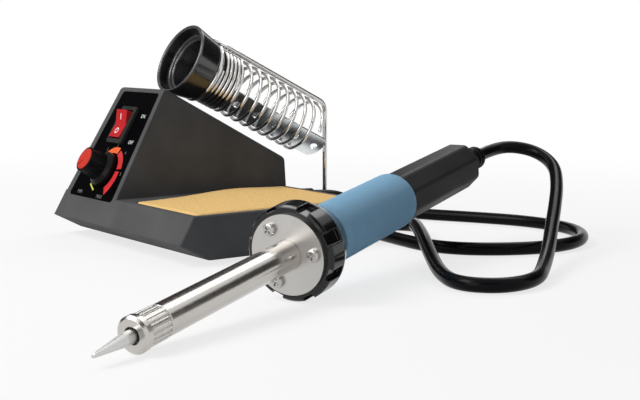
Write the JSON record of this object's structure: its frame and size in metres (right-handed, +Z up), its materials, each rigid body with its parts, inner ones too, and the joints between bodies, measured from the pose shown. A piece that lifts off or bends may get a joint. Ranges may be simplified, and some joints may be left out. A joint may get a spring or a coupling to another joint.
{
  "type": "soldering iron station",
  "caption": "Bench soldering station: sloped control tower with rocker and dial, sponge deck, coil-spring iron holder, and a corded iron with a foam grip lying beside it.",
  "frame": {"origin": "on the bench, under the middle of the box around the station and the iron without its cord", "axes": "+X to the right seen from the front, +Y from the front panel to the rear, +Z up"},
  "size_m": [0.2524, 0.3113, 0.1033],
  "materials": {
    "housing_grey": "fine-textured dark grey moulding",
    "panel_black": "matt black",
    "switch_black": "semi-gloss black",
    "rocker_red": "glossy red",
    "knob_black": "satin black",
    "contact_brass": "bright",
    "steel_zinc": "zinc plated",
    "board_green": "solder mask",
    "sink_aluminium": "plain",
    "device_black": "moulded case",
    "foot_rubber": "matt",
    "sponge_tan": "open-cell cellulose",
    "gland_rubber": "satin",
    "funnel_black": "glossy black",
    "wire_chrome": "bright plated",
    "trough_steel": "plain rolled sheet",
    "tip_plated": "iron plated, satin",
    "barrel_steel": "polished",
    "heater_ceramic": "fired ceramic",
    "lead_nickel": "drawn wire",
    "collar_black": "glossy black",
    "grip_blue": "soft foam",
    "handle_grey": "satin dark grey",
    "cord_black": "smooth jacket"
  },
  "bodies": {
    "station": {"housing_shell": "housing_grey", "bottom_cover": "housing_grey", "control_panel": "panel_black", "switch_frame": "switch_black", "mains_gland": "switch_black", "capacitor": "switch_black", "switch_terminals": "contact_brass", "cover_screws": "steel_zinc", "board_screws": "steel_zinc", "potentiometer": "steel_zinc", "potentiometer_nut": "steel_zinc", "power_board": "board_green", "heat_sink": "sink_aluminium", "triac": "device_black", "choke": "device_black", "rubber_feet": "foot_rubber", "cord_gland": "gland_rubber", "holder_funnel": "funnel_black", "holder_spring": "wire_chrome", "stand_wire": "wire_chrome", "holder_trough": "trough_steel", "iron_cord": "cord_black"},
    "rocker": {"rocker_switch": "rocker_red"},
    "knob": {"temperature_knob": "knob_black", "knob_cap": "rocker_red", "potentiometer_shaft": "steel_zinc"},
    "sponge": {"sponge": "sponge_tan"},
    "iron": {"solder_tip": "tip_plated", "tip_nut": "barrel_steel", "barrel_tube": "barrel_steel", "heater_core": "heater_ceramic", "heater_leads": "lead_nickel", "flange_plate": "barrel_steel", "flange_screws": "steel_zinc", "flange_collar": "collar_black", "grip_sleeve": "grip_blue", "handle": "handle_grey", "terminal_block": "device_black", "cord_boot": "gland_rubber"}
  },
  "joints": [
    {"name": "rocker_press", "type": "hinge", "parent": "station", "child": "rocker", "pos_m": [-0.09977, 0.00024, 0.05451], "axis": [1, 0, 0], "range_deg": [-20, 0]},
    {"name": "knob_turn", "type": "hinge", "parent": "station", "child": "knob", "pos_m": [-0.09657, -0.01144, 0.03307], "axis": [0, -0.864, 0.5034], "range_deg": [-270, 0]},
    {"name": "sponge_lift", "type": "slide", "parent": "station", "child": "sponge", "axis": [0, 0, 1], "range_m": [0, 0.03]},
    {"name": "iron_lift", "type": "slide", "parent": "station", "child": "iron", "axis": [0, 0, 1], "range_m": [0, 0.06], "deforming": ["iron_cord"]}
  ]
}
